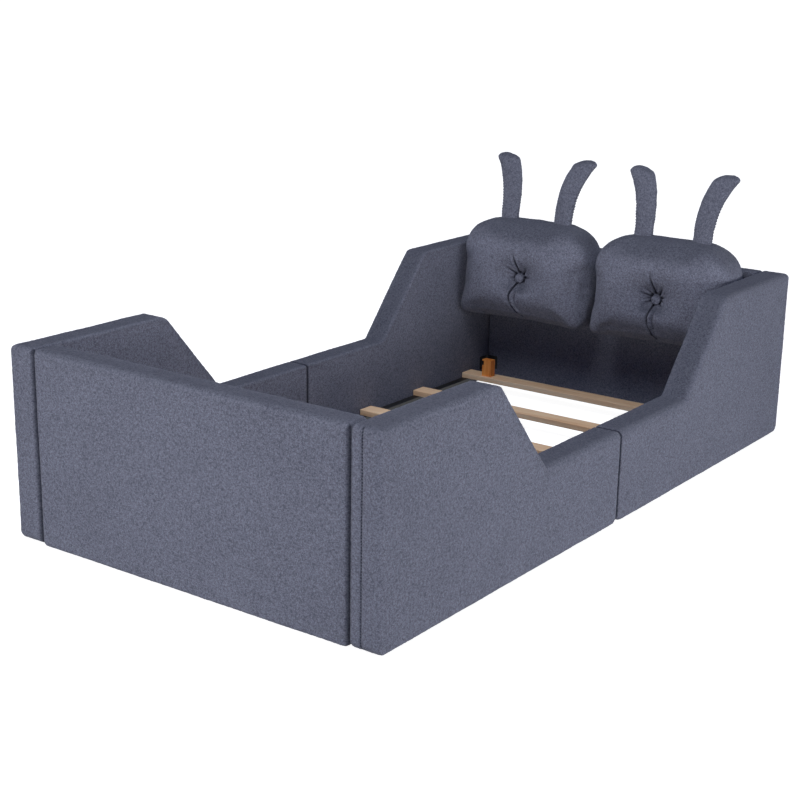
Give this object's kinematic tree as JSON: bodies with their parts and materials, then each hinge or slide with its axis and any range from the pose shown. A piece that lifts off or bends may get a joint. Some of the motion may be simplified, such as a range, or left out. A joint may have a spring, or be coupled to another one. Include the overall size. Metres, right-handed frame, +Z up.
{
  "type": "floor bed",
  "caption": "Padded floor bed frame with low climb-in sides, a slatted base and two removable eared cushions standing against the headboard.",
  "frame": {"origin": "centre of the floor under the bed", "axes": "+X across the bed to the right of someone at its foot looking to its head, +Y from foot to head, +Z up"},
  "size_m": [1.15, 2.12, 0.815],
  "materials": {
    "grey_blue_fleece": "matte boucle fleece over thin foam",
    "dark_tape": "matte hook and loop tape",
    "plywood": "raw plywood",
    "rough_timber": "raw sawn timber",
    "pine": "planed unvarnished pine",
    "stained_wood": "orange-brown stained wood",
    "black_steel": "satin black powder coat",
    "zinc_steel": "zinc plated",
    "glide_plastic": "matte black plastic"
  },
  "bodies": {
    "bed": {"block_screws": "zinc_steel", "bracket_bolts": "black_steel", "foot_board_cover": "grey_blue_fleece", "foot_board_faces": "plywood", "foot_board_frame": "rough_timber", "glides": "glide_plastic", "head_board_cover": "grey_blue_fleece", "head_board_faces": "plywood", "head_board_frame": "rough_timber", "ledger_screws": "zinc_steel", "left_block": "stained_wood", "left_foot_boards": "plywood", "left_foot_bracket": "zinc_steel", "left_foot_cover": "grey_blue_fleece", "left_foot_frame": "rough_timber", "left_foot_ledger": "black_steel", "left_head_boards": "plywood", "left_head_bracket": "zinc_steel", "left_head_cover": "grey_blue_fleece", "left_head_frame": "rough_timber", "left_head_ledger": "black_steel", "left_loop_patch": "dark_tape", "left_seam_plate": "zinc_steel", "plate_bolts": "zinc_steel", "right_block": "stained_wood", "right_foot_boards": "plywood", "right_foot_bracket": "zinc_steel", "right_foot_cover": "grey_blue_fleece", "right_foot_frame": "rough_timber", "right_foot_ledger": "black_steel", "right_head_boards": "plywood", "right_head_bracket": "zinc_steel", "right_head_cover": "grey_blue_fleece", "right_head_frame": "rough_timber", "right_head_ledger": "black_steel", "right_loop_patch": "dark_tape", "right_seam_plate": "zinc_steel", "slat_1": "pine", "slat_2": "pine", "slat_3": "pine", "slat_4": "pine", "slat_5": "pine", "slat_6": "pine", "slat_7": "pine", "slat_screws": "zinc_steel", "threaded_inserts": "zinc_steel"},
    "left_cushion_unit": {"left_cushion": "grey_blue_fleece", "left_button": "grey_blue_fleece", "left_outer_ear": "grey_blue_fleece", "left_inner_ear": "grey_blue_fleece", "left_hook_patch": "dark_tape"},
    "right_cushion_unit": {"right_cushion": "grey_blue_fleece", "right_button": "grey_blue_fleece", "right_outer_ear": "grey_blue_fleece", "right_inner_ear": "grey_blue_fleece", "right_hook_patch": "dark_tape"}
  },
  "joints": [
    {"name": "left_cushion_pull_off", "type": "slide", "parent": "bed", "child": "left_cushion_unit", "axis": [0, -1, 0], "range_m": [0, 0.3]},
    {"name": "right_cushion_pull_off", "type": "slide", "parent": "bed", "child": "right_cushion_unit", "axis": [0, -1, 0], "range_m": [0, 0.3]}
  ]
}
